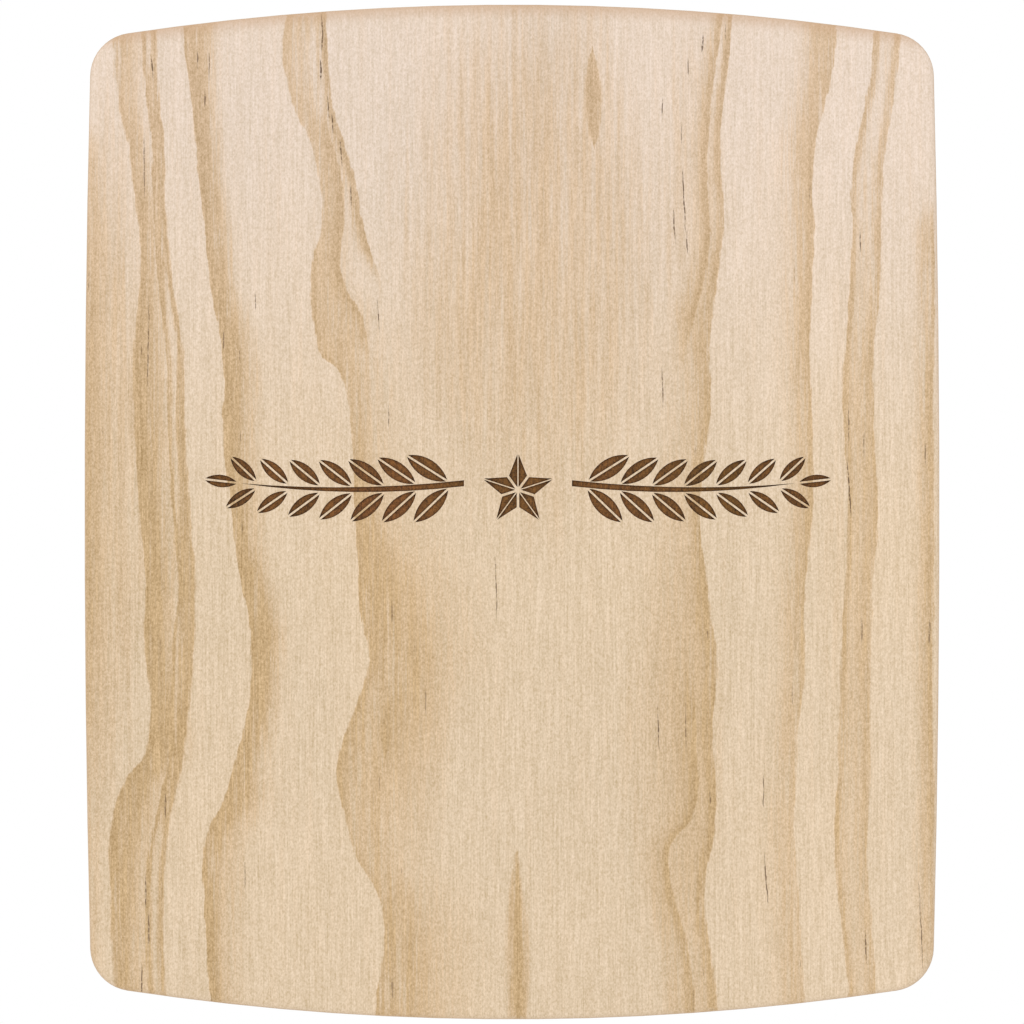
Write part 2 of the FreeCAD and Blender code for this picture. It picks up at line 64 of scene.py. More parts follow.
class Graph:
    """One material's nodes. Most methods add a node and return its output, so that formulas can be nested."""

    def __init__(self, name):
        self.material = bpy.data.materials.new(name)
        self.material.use_nodes = True
        self.tree = self.material.node_tree
        self.tree.nodes.clear()

    def node(self, kind, **settings):
        node = self.tree.nodes.new(kind)
        for name, value in settings.items():
            setattr(node, name, value)
        return node

    def feed(self, socket, value):
        if isinstance(value, bpy.types.NodeSocket):
            self.tree.links.new(value, socket)
        else:
            socket.default_value = value

    def math(self, operation, *values, clamp=False):
        node = self.node("ShaderNodeMath", operation=operation, use_clamp=clamp)
        for socket, value in zip(node.inputs, values):
            self.feed(socket, value)
        return node.outputs[0]

    def add(self, *values):
        total = values[0]
        for value in values[1:]:
            total = self.math("ADD", total, value)
        return total

    def times(self, *values):
        total = values[0]
        for value in values[1:]:
            total = self.math("MULTIPLY", total, value)
        return total

    def less(self, a, b):
        return self.math("SUBTRACT", a, b)

    def rise(self, value, start, end):
        """0 up to start, 1 from end, and a smooth slope between; it falls if start is above end."""
        node = self.node("ShaderNodeMapRange", interpolation_type="SMOOTHSTEP")
        for name, given in (("Value", value), ("From Min", start), ("From Max", end)):
            self.feed(node.inputs[name], given)
        return node.outputs["Result"]

    def mix(self, factor, a, b):
        node = self.node("ShaderNodeMix", data_type="RGBA", clamp_factor=True)
        for index, given in ((0, factor), (6, a), (7, b)):
            self.feed(node.inputs[index], given)
        return node.outputs[2]

    def shade(self, colour, value):
        """A colour, lighter or darker by a value near 1."""
        node = self.node("ShaderNodeVectorMath", operation="SCALE")
        self.feed(node.inputs[0], colour)
        self.feed(node.inputs["Scale"], value)
        return node.outputs[0]

    def grained(self, colour, amount):
        """A colour made lighter, or for a negative amount darker and yellower, as wood is."""
        node = self.node("ShaderNodeVectorMath", operation="MULTIPLY_ADD")
        self.feed(node.inputs[0], amount)
        node.inputs[1].default_value = (0.85, 1.0, 1.4)
        node.inputs[2].default_value = (1, 1, 1)
        product = self.node("ShaderNodeVectorMath", operation="MULTIPLY")
        self.feed(product.inputs[0], colour)
        self.feed(product.inputs[1], node.outputs[0])
        return product.outputs[0]

    def tinted(self, colour, tint):
        """A colour, each of its channels multiplied."""
        node = self.node("ShaderNodeVectorMath", operation="MULTIPLY")
        self.feed(node.inputs[0], colour)
        node.inputs[1].default_value = tint
        return node.outputs[0]

    def point(self, x, y, z):
        node = self.node("ShaderNodeCombineXYZ")
        for socket, value in zip(node.inputs, (x, y, z)):
            self.feed(socket, value)
        return node.outputs[0]

    def noise(self, place, scale, detail=2.0, roughness=0.5, seed=0.0):
        """Noise about 0, mostly between -0.5 and 0.5. The scale is in cycles per mm along x, y and z."""
        stretched = self.node("ShaderNodeVectorMath", operation="MULTIPLY_ADD")
        self.feed(stretched.inputs[0], place)
        stretched.inputs[1].default_value = scale
        stretched.inputs[2].default_value = (seed, seed * 1.7, seed * 0.6)
        node = self.node("ShaderNodeTexNoise")
        self.feed(node.inputs["Vector"], stretched.outputs[0])
        node.inputs["Scale"].default_value = 1.0
        node.inputs["Detail"].default_value = detail
        node.inputs["Roughness"].default_value = roughness
        return self.less(node.outputs["Fac"], 0.5)

    def curve(self, value, points, low, high):
        """A smooth curve through points of (height, amount), whose amounts lie between low and high."""
        span = SHEET_HIGH - SHEET_LOW
        node = self.node("ShaderNodeFloatCurve")
        line = node.mapping.curves[0]
        ordered = sorted(points)
        places = [((at - SHEET_LOW) / span, (amount - low) / (high - low)) for at, amount in ordered]
        line.points[0].location = places[0]
        line.points[1].location = places[-1]
        for place in places[1:-1]:
            line.points.new(*place)
        node.mapping.extend = "HORIZONTAL"
        node.mapping.update()
        self.feed(node.inputs["Value"], self.math("DIVIDE", self.less(value, SHEET_LOW), span))
        return self.add(self.times(node.outputs[0], high - low), low)

    def spot(self, x, z, across, up, half_width, half_height, lean=0.0, soft=0.4):
        """An upright lens-shaped spot: 1 inside, 0 outside. Lean is how far its top stands to the right."""
        off = self.less(self.less(x, across), self.times(self.less(z, up), lean))
        u = self.math("DIVIDE", off, half_width)
        v = self.math("DIVIDE", self.less(z, up), half_height)
        # The width shrinks towards the two ends, so that they are pointed.
        narrowed = self.math("DIVIDE", self.math("ABSOLUTE", u),
                             self.math("MAXIMUM", self.less(1.0, self.times(v, v)), 0.0001))
        return self.rise(narrowed, 1.0, 1.0 - soft)

    def pool(self, x, z, across, up, half_width, half_height):
        """A soft round patch: 1 at its middle, and 0 from its rim on."""
        u = self.math("DIVIDE", self.less(x, across), half_width)
        v = self.math("DIVIDE", self.less(z, up), half_height)
        return self.rise(self.add(self.times(u, u), self.times(v, v)), 1.0, 0.0)

    def place_mm(self):
        """The surface's place in the plaque's own frame, in mm, as a vector and as x, y and z."""
        scaled = self.node("ShaderNodeVectorMath", operation="SCALE")
        self.feed(scaled.inputs[0], self.node("ShaderNodeTexCoord").outputs["Object"])
        scaled.inputs["Scale"].default_value = 1 / MM
        split = self.node("ShaderNodeSeparateXYZ")
        self.feed(split.inputs[0], scaled.outputs[0])
        return scaled.outputs[0], *split.outputs

    def bump(self, height_mm):
        node = self.node("ShaderNodeBump")
        node.inputs["Strength"].default_value = 1.0
        node.inputs["Distance"].default_value = MM
        self.feed(node.inputs["Height"], height_mm)
        return node.outputs[0]

    def surface(self, colour, roughness, normal, **settings):
        """The finished surface. What is the same all over is set on the shader itself."""
        shader = self.node("ShaderNodeBsdfPrincipled")
        self.feed(shader.inputs["Base Color"], colour)
        self.feed(shader.inputs["Roughness"], roughness)
        self.feed(shader.inputs["Normal"], normal)
        for name, value in settings.items():
            shader.inputs[name.replace("_", " ")].default_value = value
        output = self.node("ShaderNodeOutputMaterial")
        self.tree.links.new(shader.outputs[0], output.inputs["Surface"])
        return self.material


def dress(node_name, material):
    """Gives a CAD node its material."""
    mesh = NODES[node_name].data
    mesh.materials.clear()
    mesh.materials.append(material)


# ---- the face veneer: its late wood ----

RIGHTWARD, LEFTWARD = 1, -1  # which side of its crisp edge a ring's late wood fades to
VARYING_TOP = 60.0  # no width or strength of a ring is above this


class Ring:
    """One band of late wood. Its crisp edge is a line of (height, place) points in mm, and from there it
    fades: a dark core, then a paler halo, both with a width that may change with height."""

    def __init__(self, fades, edge, core, halo, strength=1.0, crisp=0.5, reach=(SHEET_LOW, SHEET_HIGH)):
        self.fades = fades
        self.edge = edge
        self.core = core
        self.halo = halo
        self.strength = strength
        self.crisp = crisp
        self.reach = reach

    def late_wood(self, graph, x, z, drift):
        """How much late wood there is at a place: 0 for none, about 1 in the core."""
        edge_x = graph.curve(z, self.edge, -SHEET_HALF_WIDTH, SHEET_HALF_WIDTH)
        depth = graph.times(graph.less(x, edge_x), float(self.fades))
        core = self.varying(graph, z, self.core)
        halo = self.varying(graph, z, self.halo)
        edge = graph.rise(depth, -self.crisp / 2, self.crisp / 2)
        loose = graph.add(depth, graph.times(drift, graph.add(2.0, graph.times(core, 1.2))))
        dark = graph.rise(loose, graph.add(graph.times(core, 1.3), 0.5), graph.times(core, 0.6))
        loose = graph.add(depth, graph.times(drift, graph.add(4.0, graph.times(halo, 2.4))))
        pale = graph.rise(loose, graph.add(core, halo), core)
        line = graph.rise(graph.add(depth, graph.times(drift, 2.0)), 2.4, 0.5)
        amount = graph.times(edge, graph.add(graph.times(dark, 0.5), graph.times(pale, 0.45),
                                             graph.times(line, 0.3)))
        low, high = self.reach
        if low > SHEET_LOW:
            amount = graph.times(amount, graph.rise(z, low - 8, low + 8))
        if high < SHEET_HIGH:
            amount = graph.times(amount, graph.rise(z, high + 8, high - 8))
        return graph.times(amount, self.varying(graph, z, self.strength))

    @staticmethod
    def varying(graph, z, given):
        """A width or strength, the same at every height or given as (height, amount) points."""
        if isinstance(given, (int, float)):
            return float(given)
        return graph.curve(z, given, 0.0, VARYING_TOP)


RINGS = [
    # the far left group: a broad band, then two lines close together
    Ring(RIGHTWARD,
         [(125, -100), (105, -98.5), (90, -95.5), (72, -93.3), (58, -93), (36, -94.5), (20, -94.2),
          (0, -93.2), (-15, -91.5), (-32, -91.8), (-52, -90.2), (-61, -92), (-67, -96.6), (-76, -99.8),
          (-100, -100.2), (-125, -99)],
         core=[(118, 5), (80, 3), (60, 3), (35, 5), (0, 4.5), (-45, 5), (-70, 7), (-100, 5), (-125, 5)],
         halo=[(118, 6), (60, 5), (0, 8), (-45, 6), (-75, 10), (-125, 9)],
         strength=[(125, 0.45), (98, 0.55), (72, 0.85), (-125, 0.9)], crisp=0.9),
    Ring(RIGHTWARD,
         [(125, -93), (110, -92), (98, -90.6), (85, -89.6), (70, -89.6), (58, -88.6), (42, -86.6),
          (25, -86.1), (5, -85.4), (-18, -83.4), (-32, -84.5), (-50, -85.3), (-62, -86), (-75, -88.8),
          (-88, -91.1), (-125, -90.3)],
         core=0.5, halo=0.9, strength=0.8),
    Ring(LEFTWARD,
         [(125, -89), (105, -88.4), (90, -86.9), (72, -86.6), (58, -85.2), (44, -82.6), (20, -81.9),
          (0, -80.7), (-18, -79), (-35, -79.4), (-52, -81.2), (-66, -83.3), (-80, -86.2), (-125, -86.3)],
         core=[(125, 0.6), (60, 0.7), (20, 1.6), (-10, 3), (-45, 3), (-65, 1.2), (-125, 0.9)], halo=1.4,
         strength=0.8, crisp=0.9),
    # the second band
    Ring(RIGHTWARD,
         [(125, -82), (118, -82.1), (110, -81.1), (98, -79.6), (82, -78.1), (70, -76.7), (55, -75.1),
          (44, -73), (36, -72.1), (22, -72.4), (10, -71.4), (0, -70), (-13, -68.3), (-25, -65.7),
          (-37, -65.1), (-50, -66.2), (-63, -69.5), (-74, -72.8), (-78, -75.4), (-84, -77.1), (-95, -77.2),
          (-106, -76.4), (-125, -75)],
         core=[(120, 5.5), (100, 4), (60, 4), (35, 4.6), (0, 4), (-25, 5.2), (-45, 5), (-60, 4.5),
               (-73, 6), (-84, 4.2), (-100, 3), (-125, 2.6)],
         halo=[(120, 6), (60, 5), (20, 7), (0, 6), (-25, 5), (-60, 6), (-80, 10), (-125, 8)],
         strength=[(125, 0.88), (95, 0.9), (70, 1.0), (-125, 0.97)]),
    # the third band, which swells into a broad streaked patch below the middle
    Ring(RIGHTWARD,
         [(125, -56.2), (116, -57.4), (108, -56.3), (100, -54), (92, -50.4), (84, -48.5), (75, -47.4),
          (70, -47.8), (63, -49.8), (52, -50.1), (45, -49.2), (39, -47.6), (36.5, -44.3), (33, -42.3),
          (25, -40.6), (8, -39.7), (-10, -38.4), (-24, -37.9), (-31, -36.6), (-35, -35.7), (-42, -36.7),
          (-48, -38.8), (-56, -42), (-64, -43.6), (-71, -43), (-80, -41), (-87, -39), (-93, -35.2),
          (-98, -33.2), (-108, -32.2), (-117, -33.4), (-125, -34.3)],
         core=[(125, 6), (100, 5), (80, 4), (60, 6), (45, 10), (33, 5), (15, 3.5), (-5, 7), (-25, 16),
               (-45, 16), (-60, 16), (-75, 12), (-90, 9), (-110, 11), (-125, 12)],
         halo=[(125, 4), (90, 4), (60, 9), (40, 14), (10, 16), (-5, 21), (-50, 18), (-75, 15), (-100, 22),
               (-125, 20)],
         strength=[(125, 0.45), (95, 0.42), (60, 0.5), (30, 0.7), (-20, 0.76), (-50, 0.7), (-80, 0.55),
                   (-110, 0.8)]),
    Ring(LEFTWARD,
         [(125, -46.6), (112, -45.7), (100, -44.3), (92, -42.1), (84, -39.6), (76, -38), (68, -36.2),
          (60, -33.6), (45, -31)],
         core=1.1, halo=3.4, strength=0.9, reach=(62, SHEET_HIGH)),
    Ring(LEFTWARD,
         [(125, -48), (98, -46.6), (88, -43.8), (80, -42.2), (72, -42.2), (64, -43), (56, -41.5), (50, -38),
          (42, -36), (30, -35)],
         core=1.4, halo=3.2, strength=0.75, reach=(44, 94)),
    # the right-hand group, which fades to the left
    Ring(LEFTWARD,
         [(125, 55.4), (115, 54.2), (103, 52.6), (90, 51.9), (83, 52), (73, 52.8), (62, 51.7), (50, 50.2),
          (38, 49.2), (30, 49.7), (20, 48.9), (8, 47.5), (-2, 47), (-15, 48.2), (-28, 49.8), (-38, 51.2),
          (-54, 50.2), (-70, 50.8), (-83, 50.1), (-90, 48.6), (-97, 48.2), (-108, 49.2), (-125, 51.4)],
         core=[(125, 1.4), (60, 1.4), (46, 3), (20, 2.6), (0, 2), (-30, 3.6), (-60, 2.4), (-100, 2.2),
               (-125, 3)],
         halo=[(125, 3), (70, 4), (45, 12), (0, 15), (-50, 18), (-90, 16), (-125, 18)], strength=0.76),
    Ring(LEFTWARD,
         [(125, 53), (113, 50.9), (100, 49.5), (86, 48.6), (77, 48.8), (70, 49.3), (60, 48.3), (50, 46),
          (38, 43.5)],
         core=0.9, halo=3.5, strength=0.75, reach=(44, SHEET_HIGH)),
    Ring(LEFTWARD,
         [(-40, 45), (-60, 46.2), (-76, 45), (-84, 39.5), (-95, 40), (-105, 43), (-115, 44.6), (-125, 45.6)],
         core=1.6, halo=7, strength=0.55, reach=(SHEET_LOW, -42)),
    Ring(LEFTWARD,
         [(125, 81), (115, 80.7), (108, 79.5), (100, 77.6), (92, 76), (80, 75), (68, 75.2), (50, 74.5),
          (40, 74.2), (26, 75), (5, 75.2), (-6, 74.6), (-18, 73.2), (-29, 72.7), (-40, 73.2), (-52, 72),
          (-66, 71.1), (-78, 70.4), (-90, 71.4), (-108, 72.1), (-125, 73)],
         core=[(125, 6), (100, 5), (80, 4.4), (40, 3.6), (0, 4), (-40, 4.6), (-75, 5.4), (-125, 5)],
         halo=[(125, 6), (60, 8), (0, 5), (-60, 7), (-125, 6)],
         strength=[(125, 0.7), (60, 0.58), (0, 0.62), (-40, 0.5), (-65, 0.4), (-125, 0.5)]),
    Ring(RIGHTWARD,
         [(125, 90.6), (112, 89.9), (100, 87.8), (90, 85.9), (80, 84.9), (68, 84.8), (50, 84), (30, 82.7),
          (8, 83.8), (-10, 83.6), (-30, 82.5), (-60, 81.7), (-78, 80.8), (-92, 81.1), (-108, 82.8),
          (-125, 84.6)],
         core=0.9, halo=[(125, 2.4), (90, 3), (60, 4.5), (-125, 4.5)], strength=0.6),
    Ring(LEFTWARD,
         [(125, 97.5), (112, 96.4), (100, 94.8), (88, 93.2), (72, 92.2), (55, 91.7), (40, 90.5), (22, 90.5),
          (0, 91.4), (-20, 90.2), (-35, 89.8), (-62, 89.6), (-90, 89), (-108, 90.1), (-125, 91.2)],
         core=[(125, 1.6), (60, 2), (20, 2.8), (-60, 3), (-125, 2.6)],
         halo=[(125, 2.4), (90, 3), (60, 4), (-125, 4)],
         strength=[(125, 0.44), (90, 0.48), (60, 0.58), (0, 0.52), (-60, 0.44), (-125, 0.48)]),
    # the two margins
    Ring(LEFTWARD, [(125, 105.5), (-125, 105.5)], core=3.2, halo=3.5, strength=0.55, reach=(-112, 74)),
    Ring(RIGHTWARD, [(125, -107), (-125, -107)], core=3.2, halo=3.5, strength=0.38, reach=(-128, 92)),
]

# Broad soft patches of darker wood: (x, z, half width, half height, strength), in mm.
POOLS = [
    (4.0, 64.0, 40.0, 84.0, 0.36),
    (-101.0, 10.0, 12.0, 105.0, 0.36),
    (40.0, -60.0, 16.0, 60.0, 0.22),
    (84.0, -20.0, 9.0, 90.0, 0.1),
    (45.0, 82.0, 10.0, 50.0, 0.2),
    (-23.0, -60.0, 9.0, 32.0, 0.2),
]

# Small marks in the face: (x, z, half width, half height, lean, strength), in mm.
EYES = [
    (20.3, 103.5, 2.4, 13.0, -0.03, 0.85),
    (-31.5, -54.0, 1.8, 8.0, 0.05, 0.35),
    (1.4, -112.0, 1.5, 25.0, 0.0, 0.8),
    (1.2, -114.0, 3.9, 30.0, 0.0, 0.55),
]
CHECKS = [
    (43.0, 77.5, 0.26, 8.0, -0.06, 1.0), (43.8, 67.5, 0.18, 3.2, -0.04, 0.8),
    (40.6, 71.2, 0.24, 4.6, -0.05, 1.0), (37.6, 100.8, 0.2, 2.6, 0.0, 0.9),
    (44.0, 111.0, 0.24, 2.2, 0.0, 0.9), (47.7, 116.8, 0.3, 2.6, 0.03, 0.9),
    (53.3, 120.0, 0.2, 2.2, 0.0, 0.8), (42.3, 94.3, 0.2, 2.6, 0.0, 0.8),
    (37.6, 31.0, 0.24, 5.6, -0.03, 0.9), (84.3, 5.5, 0.26, 7.5, -0.07, 0.95),
    (84.2, 22.0, 0.2, 6.5, 0.0, 0.7), (87.2, 67.0, 0.22, 2.6, -0.03, 0.9),
    (36.6, -54.0, 0.22, 6.5, -0.03, 0.9), (43.4, -54.0, 0.16, 7.0, 0.0, 0.7),
    (-4.0, -19.0, 0.2, 8.0, -0.03, 0.9), (63.6, -92.0, 0.22, 7.5, -0.08, 0.9),
    (102.3, -104.0, 0.22, 12.0, -0.06, 0.8), (88.5, -109.0, 0.22, 5.0, -0.03, 0.8),
    (62.9, -70.0, 0.22, 4.2, 0.0, 0.9), (-66.8, -91.5, 0.2, 3.8, 0.0, 0.8),
    (-44.9, 97.2, 0.34, 2.8, -0.05, 1.0), (-45.9, 101.4, 0.26, 3.0, -0.08, 0.9),
    (-42.8, 89.6, 0.24, 3.4, -0.1, 0.9), (-40.3, 79.0, 0.22, 3.4, -0.04, 0.8),
    (-47.8, 110.8, 0.24, 2.8, 0.0, 1.0), (-47.5, 120.0, 0.26, 5.0, 0.0, 0.9),
    (-90.0, 111.0, 0.26, 3.2, -0.05, 0.9), (-91.0, 42.0, 0.24, 12.0, 0.02, 0.75),
    (-92.0, 86.0, 0.3, 8.0, 0.0, 0.6), (-78.6, 113.0, 0.22, 2.4, 0.0, 0.8),
    (-75.7, 111.5, 0.22, 3.8, 0.0, 0.8), (-76.8, 103.4, 0.3, 2.2, 0.0, 0.7),
    (-33.4, 49.2, 0.24, 4.2, -0.05, 1.0), (-64.3, 52.5, 0.2, 2.6, -0.06, 0.9),
    (-30.9, 24.0, 0.22, 3.0, -0.03, 0.9), (-91.6, -95.0, 0.26, 4.6, 0.0, 0.9),
    (-90.8, -103.5, 0.24, 4.6, 0.0, 0.8), (-92.6, -117.0, 0.26, 4.4, 0.0, 0.9),
]
CHECK_WIDTH_SCALE = 0.8


def fibres(graph, place, along, seed):
    """Fine streaks that run with the grain, as one coarse and one fine noise, and a speckle."""
    coarse = {UPRIGHT: (0.6, 0.6, 0.02), ACROSS: (0.02, 0.6, 0.6)}[along]
    fine = {UPRIGHT: (2.6, 2.6, 0.08), ACROSS: (0.08, 2.6, 2.6)}[along]
    return (graph.noise(place, coarse, detail=3, roughness=0.7, seed=seed),
            graph.noise(place, fine, detail=2, roughness=0.6, seed=seed + 5),
            graph.noise(place, (2.6, 2.6, 1.7), detail=1, roughness=0.7, seed=seed + 9))


def streaked(graph, coarse, fine, strands):
    """How the grain's streaks lighten and darken late wood: a factor about 1, with pale and dark strands."""
    pale_strands = graph.rise(strands, 0.09, 0.17)
    dark_strands = graph.rise(strands, -0.09, -0.17)
    tone = graph.add(1.0, graph.times(coarse, 2.2), graph.times(fine, 2.4),
                     graph.times(pale_strands, -0.38), graph.times(dark_strands, 0.22))
    return graph.math("MAXIMUM", tone, 0.35)


def scattered_checks(graph, x, z, seed):
    """Short dark checks strewn at random, each running with the grain."""
    cells_across, cells_up = 0.12, 0.045  # cells per mm
    half_width, half_height = 0.24, 3.2  # of a check of size 1
    node = graph.node("ShaderNodeTexVoronoi", voronoi_dimensions="2D")
    across = graph.add(graph.times(x, cells_across), seed)
    up = graph.times(z, cells_up)
    graph.feed(node.inputs["Vector"], graph.point(across, up, 0.0))
    node.inputs["Scale"].default_value = 1.0
    centre = graph.node("ShaderNodeSeparateXYZ")
    graph.feed(centre.inputs[0], node.outputs["Position"])
    chance = graph.node("ShaderNodeSeparateColor")
    graph.feed(chance.inputs[0], node.outputs["Color"])
    size = graph.add(graph.times(chance.outputs[0], 0.9), 0.3)
    u = graph.math("DIVIDE", graph.less(across, centre.outputs[0]),
                   graph.times(size, half_width * cells_across))
    v = graph.math("DIVIDE", graph.less(up, centre.outputs[1]),
                   graph.times(size, half_height * cells_up))
    inside = graph.rise(graph.add(graph.times(u, u), graph.times(v, v)), 1.0, 0.3)
    return graph.times(inside, graph.rise(chance.outputs[1], 0.4, 0.65))  # the other cells stay empty


def face_veneer_material():
    graph = Graph("pine_face_veneer")
    place, x, y, z = graph.place_mm()
    low, high = (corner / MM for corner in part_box("face_veneer"))
    coarse, fine, speckle = fibres(graph, place, UPRIGHT, seed=3.0)
    wave = graph.noise(place, (0.02, 0.02, 0.05), detail=1, seed=11.0)
    ragged = graph.noise(place, (1.3, 1.3, 0.2), detail=2, roughness=0.6, seed=21.0)
    strands = graph.noise(place, (1.4, 1.4, 0.04), detail=1, roughness=0.6, seed=27.0)
    cloud = graph.noise(place, (0.03, 0.03, 0.012), detail=2, seed=31.0)
    bent_x = graph.add(x, graph.times(wave, 1.2), graph.times(ragged, 1.5))
    bent_z = graph.add(z, graph.times(wave, 2.0))

    late = 0.0
    for ring in RINGS:
        late = graph.add(late, ring.late_wood(graph, bent_x, bent_z, coarse))
    for across, up, half_width, half_height, lean, strength in EYES:
        spot = graph.spot(bent_x, bent_z, across, up, half_width, half_height, lean, soft=0.6)
        late = graph.add(late, graph.times(spot, strength))
    # Late wood is streaked with the grain, and faint streaks cross the early wood too.
    late = graph.times(late, streaked(graph, coarse, fine, strands))
    pooled = 0.0
    for across, up, half_width, half_height, strength in POOLS:
        pool = graph.pool(bent_x, bent_z, across, up, half_width, half_height)
        pooled = graph.add(pooled, graph.times(pool, strength))
    pooled = graph.times(pooled, graph.add(1.0, graph.times(coarse, 1.6), graph.times(strands, 1.0)))
    late = graph.add(late, pooled, graph.times(coarse, 0.7), graph.times(fine, 0.5), 0.03)
    late = graph.math("MINIMUM", graph.math("MAXIMUM", late, 0.0), 1.25)

    wobble_x = graph.add(x, graph.times(ragged, 0.8))
    broken = graph.rise(graph.noise(place, (0.4, 0.4, 0.9), detail=1, seed=37.0), -0.12, -0.02)
    checks = 0.0
    for across, up, half_width, half_height, lean, strength in CHECKS:
        spot = graph.spot(wobble_x, bent_z, across, up, CHECK_WIDTH_SCALE * half_width, half_height, lean)
        checks = graph.math("MAXIMUM", checks, graph.times(spot, strength))
    strewn = graph.times(scattered_checks(graph, wobble_x, bent_z, seed=0.4), graph.rise(late, 0.3, 0.6), 0.7)
    checks = graph.math("MAXIMUM", checks, strewn)
    checks = graph.times(checks, graph.add(0.35, graph.times(broken, 0.65)))

    upward = graph.rise(z, -20.0, 118.0)
    early = graph.mix(upward, seen(230, 207, 177), seen(238, 219, 202))
    middling = graph.mix(upward, seen(217, 188, 151), seen(220, 191, 158))
    dark = graph.mix(upward, seen(201, 169, 124), seen(207, 177, 142))
    colour = graph.mix(graph.rise(late, -0.1, 0.6), early, middling)
    colour = graph.mix(graph.rise(late, 0.4, 1.15), colour, dark)
    # The wood is here pinker and there yellower.
    yellower = graph.tinted(colour, (1.02, 0.99, 0.94))
    colour = graph.mix(graph.add(0.25, graph.times(cloud, 1.2)), colour, yellower)
    small_grain = graph.times(graph.add(graph.times(fine, 0.62), graph.times(speckle, 0.7)),
                              graph.add(0.98, graph.times(late, 0.55), graph.times(upward, -0.24)))
    # Painted light: the right-hand side is made a little lighter, in place of more light falling there.
    painted_light_rightward = graph.rise(x, 35.0, 80.0)
    colour = graph.grained(colour, graph.add(graph.times(cloud, 0.10), graph.times(coarse, 0.10),
                                             graph.times(painted_light_rightward, 0.035), small_grain))
    colour = graph.mix(graph.times(checks, 0.9), colour, seen(92, 64, 38))

    depth = graph.less(y, low.y)
    sunk = graph.rise(depth, 0.05, 0.2)
    inside = 1.0
    for place_along, reach in ((x, ENGRAVED_HALF_WIDTH), (z, ENGRAVED_HALF_HEIGHT)):
        inside = graph.times(inside, graph.rise(graph.math("ABSOLUTE", place_along), reach + 1, reach))
    outside = graph.less(1.0, inside)
    # Along the top edge, where the fibres end, the wood is painted darker and pinker in a band about 4 mm
    # wide.
    from_top = graph.less(graph.less(high.z, graph.times(x, x, 0.5 / END_BOW_RADIUS)), z)
    darker_top_band = graph.rise(graph.add(from_top, graph.times(ragged, 1.5)), 4.0, -0.6)
    colour = graph.mix(graph.times(darker_top_band, 0.6), colour, seen(204, 165, 128))
    # The rounded-over edge is painted a little darker and browner too.
    rim = graph.times(graph.rise(graph.add(depth, graph.times(speckle, 0.5)), 0.05, 0.6), outside)
    colour = graph.mix(graph.times(rim, 0.12), colour, seen(202, 164, 130))
    glue = graph.rise(graph.add(graph.less(high.y, y), graph.times(ragged, 0.5)), 0.22, 0.0)
    colour = graph.mix(graph.times(glue, outside, 0.3), colour, seen(204, 164, 120))

    # The engraving's floor is scorched; beside its walls it is darkened further with painted shade.
    scorched = graph.times(sunk, inside)
    # Painted shade: ambient occlusion darkens the scorched floor beside the walls.
    corner = graph.node("ShaderNodeAmbientOcclusion", samples=4, only_local=True)
    corner.inputs["Distance"].default_value = 0.9 * MM
    raster = graph.math("SINE", graph.times(z, 2 * math.pi / 0.5))
    char_and_painted_shade = graph.mix(graph.add(0.5, graph.times(cloud, 2.5)), seen(116, 82, 36), seen(126, 81, 42))
    char_and_painted_shade = graph.mix(graph.rise(corner.outputs["AO"], 0.45, 0.95), seen(78, 46, 14), char_and_painted_shade)
    char_and_painted_shade = graph.shade(char_and_painted_shade, graph.add(1.0, graph.times(speckle, 2.0), graph.times(fine, 0.9),
                                       graph.times(coarse, 0.8), graph.times(raster, 0.06),
                                       graph.times(late, -0.12)))
    colour = graph.mix(scorched, colour, char_and_painted_shade)

    grain = graph.add(graph.times(fine, 0.05), graph.times(coarse, 0.04),
                      graph.times(speckle, graph.add(0.02, graph.times(scorched, 0.08))),
                      graph.times(raster, scorched, 0.012))
    roughness = graph.add(0.55, graph.times(late, -0.06), graph.times(fine, 0.3), graph.times(scorched, 0.3))
    return graph.surface(colour, roughness, graph.bump(grain), Specular_IOR_Level=0.3)


# ---- the plies behind it ----

